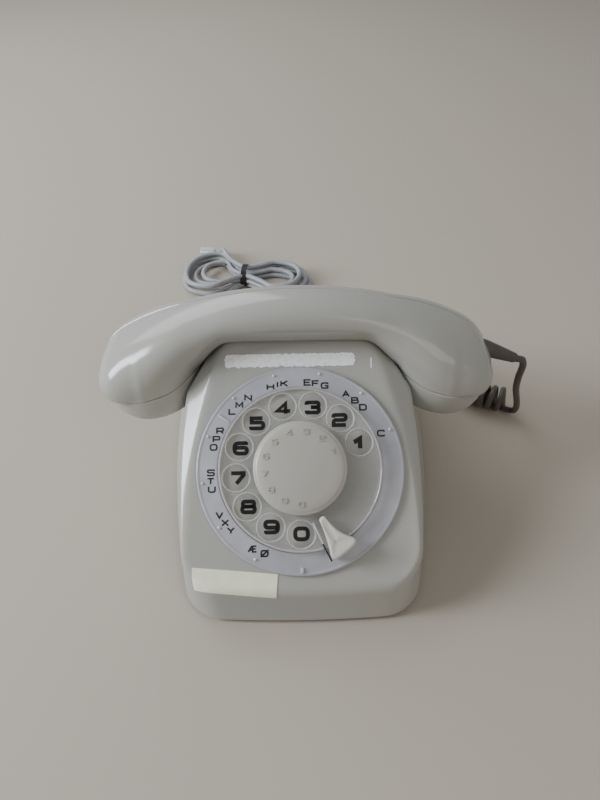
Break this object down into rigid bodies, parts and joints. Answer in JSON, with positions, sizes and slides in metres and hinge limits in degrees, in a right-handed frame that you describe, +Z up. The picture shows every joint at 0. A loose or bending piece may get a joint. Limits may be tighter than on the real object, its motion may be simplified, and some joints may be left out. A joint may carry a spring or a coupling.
{
  "type": "rotary telephone",
  "caption": "Wedge-shaped desk telephone with a rotary dial, a lying handset that lifts off, a curly handset cord and a tied line cord.",
  "frame": {"origin": "on the table under the middle of the case and handset, cords left out", "axes": "+X along the handset to the mouthpiece end, +Y to the back, +Z up; the dial faces -Y and up"},
  "size_m": [0.2488, 0.3479, 0.1196],
  "materials": {
    "case_grey": "glossy moulded ABS",
    "trim_grey": "satin moulded plastic",
    "ring_grey": "translucent bluish grey plastic",
    "clear": "clear acrylic",
    "steel": "plated steel",
    "brass": "plain brass",
    "rubber": "black rubber",
    "copper": "taped copper winding",
    "board": "phenolic board",
    "black": "black plastic",
    "cord_dark": "dark grey-brown cord sheath",
    "cord_light": "light grey cord sheath",
    "paper": "cream label tape"
  },
  "bodies": {
    "case": {"case_shell": "case_grey", "base_plate": "steel", "foot_front_left": "rubber", "foot_front_right": "rubber", "foot_rear_left": "rubber", "foot_rear_right": "rubber", "case_screw_front_left": "steel", "case_screw_front_right": "steel", "case_screw_rear_left": "steel", "case_screw_rear_right": "steel", "letter_ring": "ring_grey", "number_plate": "ring_grey", "dial_frame": "steel", "dial_bush": "brass", "label": "paper", "finger_stop": "trim_grey", "return_spring": "steel", "pulse_contacts": "brass", "governor_drum": "steel", "hook_bracket": "steel", "hook_contacts": "brass", "gong_left": "steel", "gong_right": "steel", "gong_post_left": "steel", "gong_post_right": "steel", "ringer_coil_left": "copper", "ringer_coil_right": "copper", "ringer_yoke": "steel", "circuit_board": "board", "induction_coil": "copper", "line_capacitor": "black", "terminal_block": "trim_grey", "handset_cord_lead": "cord_dark", "handset_cord_curl": "cord_dark", "handset_cord_tail": "cord_dark", "handset_cord_gland": "cord_dark", "line_cord_gland": "cord_light", "line_cord_lead": "cord_light", "line_cord_hank": "cord_light", "line_cord_tie": "black", "line_cord_plug": "clear"},
    "dial": {"finger_wheel": "clear", "dial_cap": "trim_grey", "wheel_screw": "steel", "dial_shaft": "steel", "main_gear": "brass", "pulse_wheel": "black"},
    "governor": {"governor_pinion": "brass", "governor_spindle": "steel", "governor_weights": "brass"},
    "hook": {"hook_plunger_left": "trim_grey", "hook_plunger_right": "trim_grey", "hook_crossbar": "black"},
    "clapper": {"clapper": "steel"},
    "handset": {"handset_grip": "case_grey", "ear_cap": "case_grey", "mouth_cap": "case_grey", "ear_capsule": "steel", "mouth_capsule": "steel", "handset_cord_boot": "cord_dark"}
  },
  "joints": [
    {"name": "dial_turn", "type": "hinge", "parent": "case", "child": "dial", "pos_m": [0, -0.0489, 0.05698], "axis": [0, -0.5736, 0.8192], "range_deg": [-335, 0], "stiffness_Nm_per_rad": 0.01, "springref_deg": 51.57},
    {"name": "governor_spin", "type": "hinge", "parent": "case", "child": "governor", "pos_m": [-0.02245, -0.05253, 0.04223], "axis": [0, -0.5736, 0.8192], "range_deg": [-10, 1400]},
    {"name": "handset_lift", "type": "slide", "parent": "case", "child": "handset", "axis": [0, 0, 1], "range_m": [0, 0.1]},
    {"name": "hook_press", "type": "slide", "parent": "case", "child": "hook", "axis": [0, 0, 1], "range_m": [0, 0.004]},
    {"name": "clapper_swing", "type": "hinge", "parent": "case", "child": "clapper", "pos_m": [0, 0.0244, 0.017], "axis": [0, 0, 1], "range_deg": [-3.5, 3.5], "stiffness_Nm_per_rad": 0.02}
  ],
  "couplings": [
    {"joint": "governor_spin", "follows": "dial_turn", "ratio": -4},
    {"joint": "hook_press", "follows": "handset_lift", "ratio": 0.04}
  ]
}
